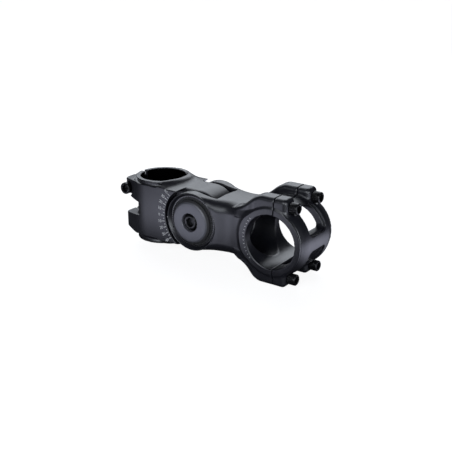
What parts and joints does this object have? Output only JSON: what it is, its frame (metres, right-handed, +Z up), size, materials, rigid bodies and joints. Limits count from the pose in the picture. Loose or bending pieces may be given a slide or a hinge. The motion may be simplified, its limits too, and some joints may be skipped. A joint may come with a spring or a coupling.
{
  "type": "handlebar stem",
  "caption": "Adjustable-angle stem that clamps on a fork steerer and holds a handlebar, with a toothed lock in its pivot.",
  "frame": {"origin": "on the fork steerer's axis at the clamp's bottom face", "axes": "+Z up along the steerer, +X forwards to the handlebar, +Y to the rider's left"},
  "size_m": [0.1362, 0.0366, 0.0522],
  "materials": {
    "body_black": "fine-blasted black anodised",
    "cap_black": "satin black anodised",
    "screw_black": "glossy black oxide",
    "steel": "zinc plated",
    "bush_polymer": "moulded bearing polymer"
  },
  "bodies": {
    "clamp": {"steerer_clamp": "body_black", "upper_pinch_screw": "screw_black", "lower_pinch_screw": "screw_black", "right_pivot_bush": "bush_polymer", "left_pivot_bush": "bush_polymer", "right_spring_washer": "steel", "left_spring_washer": "steel", "right_release_spring": "steel", "left_release_spring": "steel"},
    "arm": {"extension_arm": "body_black"},
    "plate": {"face_plate": "body_black", "upper_right_bar_screw": "screw_black", "lower_right_bar_screw": "screw_black", "upper_left_bar_screw": "screw_black", "lower_left_bar_screw": "screw_black"},
    "right_cap": {"right_lock_cap": "cap_black", "pivot_washer": "steel"},
    "left_cap": {"left_lock_cap": "cap_black", "pivot_sleeve_nut": "steel"},
    "bolt": {"pivot_bolt": "screw_black"}
  },
  "joints": [
    {"name": "arm_pivot", "type": "hinge", "parent": "clamp", "child": "arm", "pos_m": [0.034, 0, 0.02], "axis": [0, -1, 0], "range_deg": [-40, 40]},
    {"name": "right_cap_slide", "type": "slide", "parent": "arm", "child": "right_cap", "axis": [0, 1, 0], "range_m": [0, 0.0018]},
    {"name": "left_cap_slide", "type": "slide", "parent": "arm", "child": "left_cap", "axis": [0, -1, 0], "range_m": [0, 0.0018]},
    {"name": "pivot_bolt_turn", "type": "hinge", "parent": "right_cap", "child": "bolt", "pos_m": [0.034, 0, 0.02], "axis": [0, 1, 0], "range_deg": [0, 1296]},
    {"name": "face_plate_lift", "type": "slide", "parent": "arm", "child": "plate", "axis": [1, 0, 0], "range_m": [0, 0.03]}
  ],
  "couplings": [
    {"joint": "left_cap_slide", "follows": "right_cap_slide", "ratio": 1},
    {"joint": "pivot_bolt_turn", "follows": "right_cap_slide", "rad_per_m": 12566}
  ]
}
